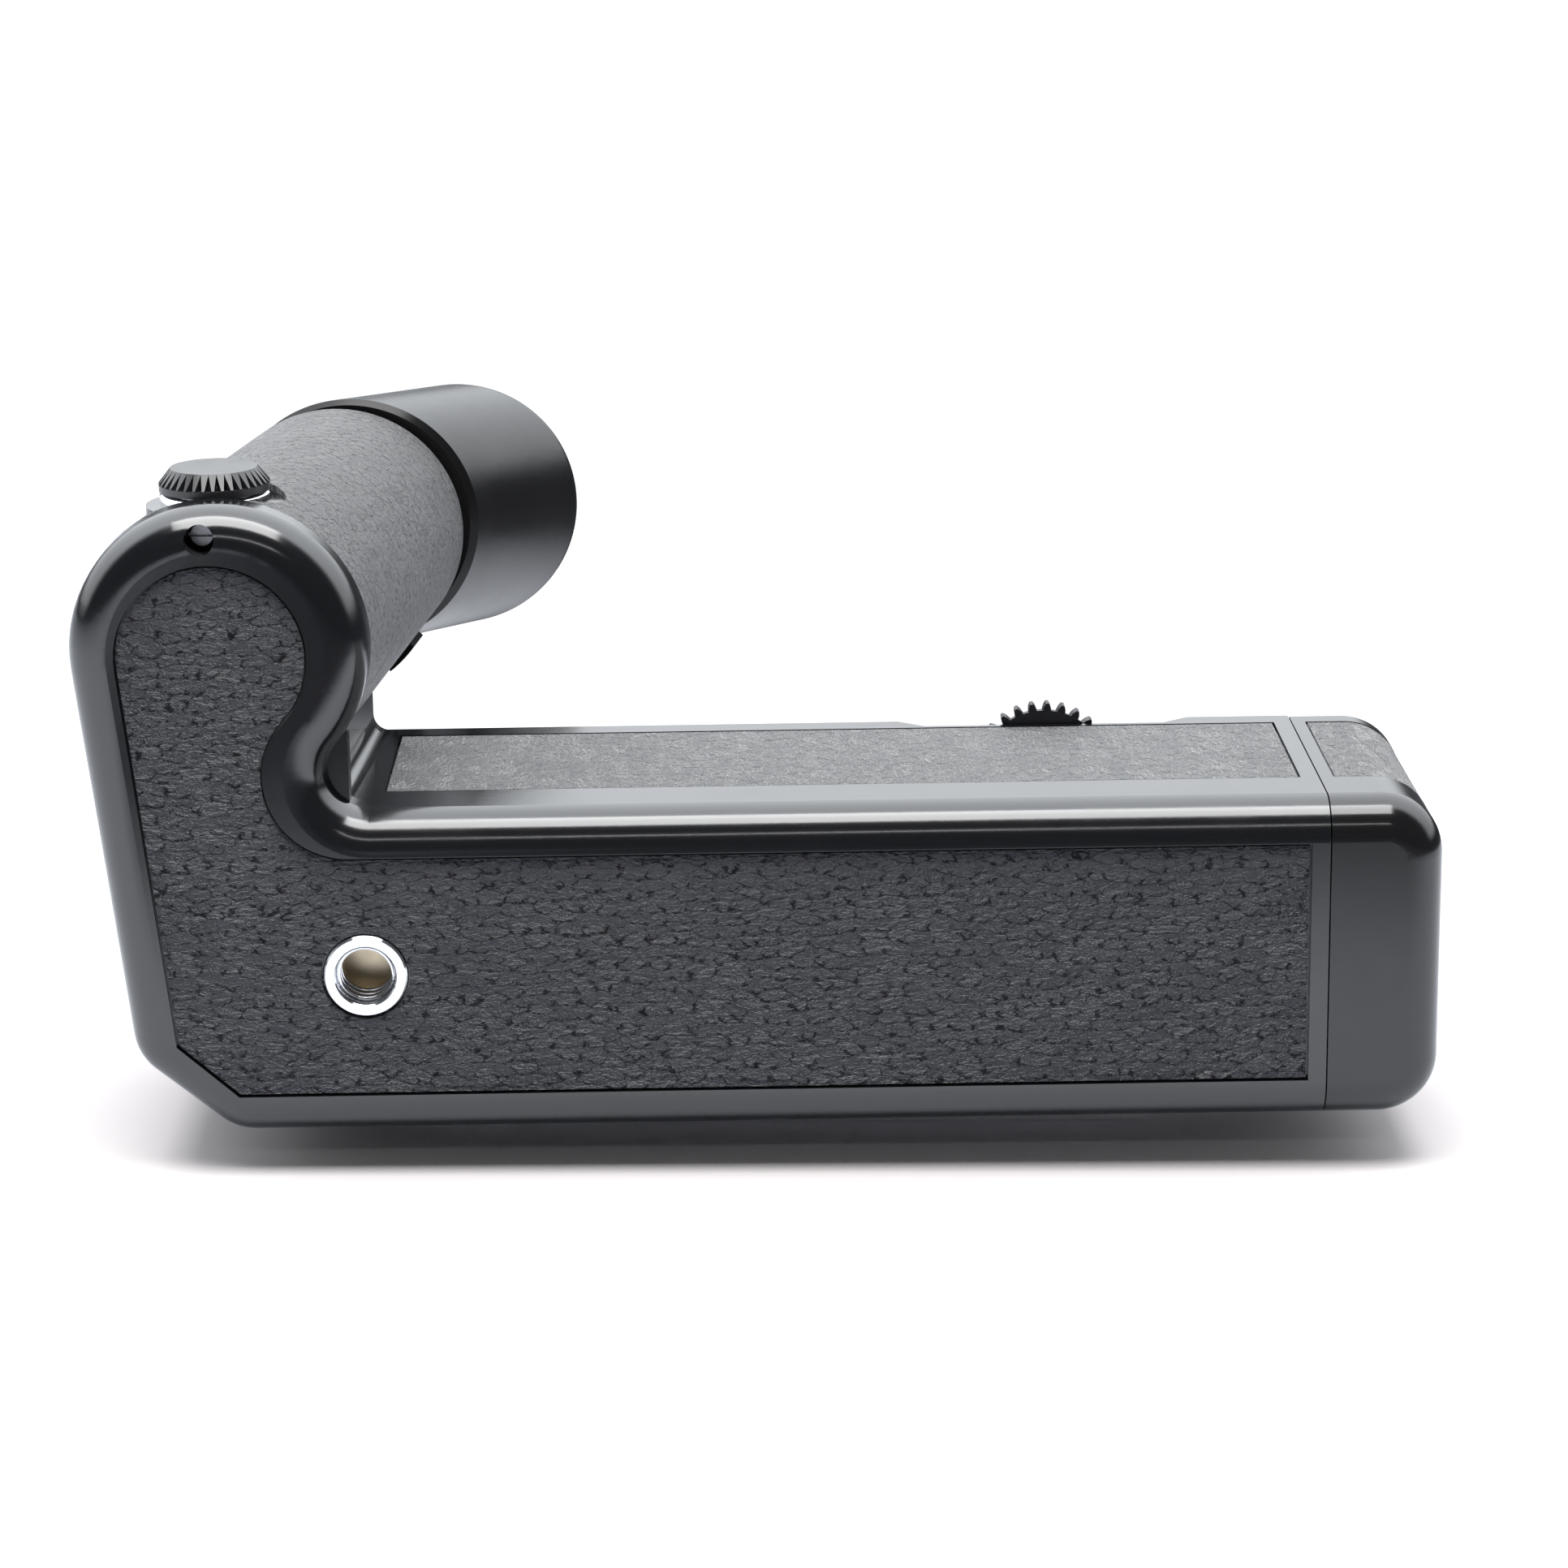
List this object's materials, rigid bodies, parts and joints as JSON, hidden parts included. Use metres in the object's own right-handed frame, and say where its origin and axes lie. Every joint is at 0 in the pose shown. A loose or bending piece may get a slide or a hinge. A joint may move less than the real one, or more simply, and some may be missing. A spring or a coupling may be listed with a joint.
{
  "type": "camera motor drive",
  "caption": "Battery base that fastens under a camera and winds its film, with a leaning grip in front that carries a release button.",
  "frame": {"origin": "middle of the bounding box in X and Y, on the plane of the rear face in Z, on which the part lies in the picture", "axes": "+X towards the user's left and the end cap, +Y up in use (camera side; the tripod bush faces -Y), +Z towards the lens side, where the grip is"},
  "size_m": [0.144, 0.1094, 0.0703],
  "materials": {
    "black_paint": "semi-gloss black enamel",
    "black_anodised": "black anodised",
    "black_plastic": "smooth black moulding",
    "inner_plastic": "matt moulding",
    "leather": "grained black leatherette",
    "chrome": "bright plating",
    "steel": "plain steel",
    "black_steel": "blackened steel",
    "brass": "turned brass",
    "magnet": "sintered",
    "cell_jacket": "printed metal jacket",
    "board": "green board",
    "seal": "soft disc"
  },
  "bodies": {
    "housing": {"base_shell": "black_paint", "top_plate": "black_paint", "bottom_leather": "leather", "front_leather": "leather", "rear_leather": "leather", "tripod_bush": "chrome", "grip_core": "inner_plastic", "grip_leather": "leather", "grip_rest_pad": "black_plastic", "grip_head": "black_plastic", "switch_plate": "inner_plastic", "switch_screws": "steel", "release_switch": "inner_plastic", "button_spring": "steel", "terminal_seat": "black_plastic", "terminal_ring": "chrome", "terminal_insulator": "inner_plastic", "terminal_pins": "brass", "thumbwheel_axle": "steel", "drive_bush": "brass", "lower_gear_plate": "steel", "upper_gear_plate": "steel", "gear_plate_posts": "brass", "gearbox_screws": "steel", "gear_axles": "steel", "motor_can": "steel", "motor_end_bell": "inner_plastic", "motor_magnets": "magnet", "circuit_board": "board", "board_components": "inner_plastic", "contact_block": "inner_plastic", "contact_pin_springs": "steel", "battery_contact_board": "inner_plastic", "battery_leaf_springs": "brass", "top_plate_screws": "black_steel", "grip_screws": "steel", "arm_screw": "steel", "locating_pins": "steel"},
    "release_button": {"release_button": "chrome"},
    "mode_ring": {"mode_ring": "black_anodised"},
    "terminal_cap_seal": {"terminal_cap_seal": "seal"},
    "terminal_cap": {"terminal_cap": "black_anodised"},
    "thumbwheel": {"thumbwheel": "black_steel"},
    "camera_screw": {"camera_screw": "black_steel"},
    "motor_rotor": {"motor_rotor": "steel", "motor_pinion": "brass"},
    "first_reduction_gear": {"first_reduction_gear": "brass"},
    "second_reduction_gear": {"second_reduction_gear": "brass"},
    "drive_coupling": {"drive_coupling": "steel", "coupling_gear": "brass"},
    "contact_pin_1": {"contact_pin_1": "brass"},
    "contact_pin_2": {"contact_pin_2": "brass"},
    "contact_pin_3": {"contact_pin_3": "brass"},
    "battery_drawer": {"end_cap": "black_plastic", "end_cap_leather": "leather", "battery_holder": "inner_plastic", "battery_contacts": "brass", "aa_cells": "cell_jacket", "drawer_latch_springs": "steel"},
    "drawer_latch": {"drawer_latch": "black_anodised"}
  },
  "joints": [
    {"name": "thumbwheel_turn", "type": "hinge", "parent": "housing", "child": "thumbwheel", "pos_m": [0.0319, -0.01885, 0.0296], "axis": [0, 1, 0], "continuous": true},
    {"name": "camera_screw_turn", "type": "hinge", "parent": "housing", "child": "camera_screw", "pos_m": [0.0319, -0.01885, 0.01762], "axis": [0, 1, 0], "continuous": true},
    {"name": "motor_spin", "type": "hinge", "parent": "housing", "child": "motor_rotor", "pos_m": [-0.0544, -0.02475, 0.05194], "axis": [0, 1, 0], "continuous": true},
    {"name": "first_gear_spin", "type": "hinge", "parent": "housing", "child": "first_reduction_gear", "pos_m": [-0.0566, -0.04175, 0.04167], "axis": [0, 1, 0], "continuous": true},
    {"name": "second_gear_spin", "type": "hinge", "parent": "housing", "child": "second_reduction_gear", "pos_m": [-0.0566, -0.04175, 0.03117], "axis": [0, 1, 0], "continuous": true},
    {"name": "coupling_spin", "type": "hinge", "parent": "housing", "child": "drive_coupling", "pos_m": [-0.054, -0.03475, 0.021], "axis": [0, 1, 0], "continuous": true},
    {"name": "release_press", "type": "slide", "parent": "housing", "child": "release_button", "axis": [0, -1, 0], "range_m": [0, 0.0015], "stiffness_N_per_m": 300, "springref_m": -0.004, "deforming": ["button_spring"]},
    {"name": "mode_turn", "type": "hinge", "parent": "housing", "child": "mode_ring", "pos_m": [-0.038, 0.05225, 0.047], "axis": [0, 1, 0], "range_deg": [0, 50]},
    {"name": "terminal_cap_lift", "type": "slide", "parent": "housing", "child": "terminal_cap_seal", "axis": [0, 0, 1], "range_m": [0, 0.0016]},
    {"name": "terminal_cap_turn", "type": "hinge", "parent": "terminal_cap_seal", "child": "terminal_cap", "pos_m": [-0.0572, -0.04125, 0.069], "axis": [0, 0, 1], "range_deg": [0, 720]},
    {"name": "battery_drawer_slide", "type": "slide", "parent": "housing", "child": "battery_drawer", "axis": [1, 0, 0], "range_m": [0, 0.106]},
    {"name": "drawer_latch_slide", "type": "slide", "parent": "battery_drawer", "child": "drawer_latch", "axis": [1, 0, 0], "range_m": [0, 0.0012], "stiffness_N_per_m": 300, "springref_m": -0.002, "deforming": ["drawer_latch_springs"]},
    {"name": "contact_pin_1_press", "type": "slide", "parent": "housing", "child": "contact_pin_1", "axis": [0, -1, 0], "range_m": [0, 0.0007], "stiffness_N_per_m": 150, "springref_m": -0.001, "deforming": ["contact_pin_springs"]},
    {"name": "contact_pin_2_press", "type": "slide", "parent": "housing", "child": "contact_pin_2", "axis": [0, -1, 0], "range_m": [0, 0.0007], "stiffness_N_per_m": 150, "springref_m": -0.001, "deforming": ["contact_pin_springs"]},
    {"name": "contact_pin_3_press", "type": "slide", "parent": "housing", "child": "contact_pin_3", "axis": [0, -1, 0], "range_m": [0, 0.0007], "stiffness_N_per_m": 150, "springref_m": -0.001, "deforming": ["contact_pin_springs"]}
  ],
  "couplings": [
    {"joint": "camera_screw_turn", "follows": "thumbwheel_turn", "ratio": -1.75},
    {"joint": "first_gear_spin", "follows": "motor_spin", "ratio": -0.4},
    {"joint": "second_gear_spin", "follows": "motor_spin", "ratio": 0.16},
    {"joint": "coupling_spin", "follows": "motor_spin", "ratio": -0.064},
    {"joint": "terminal_cap_turn", "follows": "terminal_cap_lift", "rad_per_m": 7854}
  ]
}
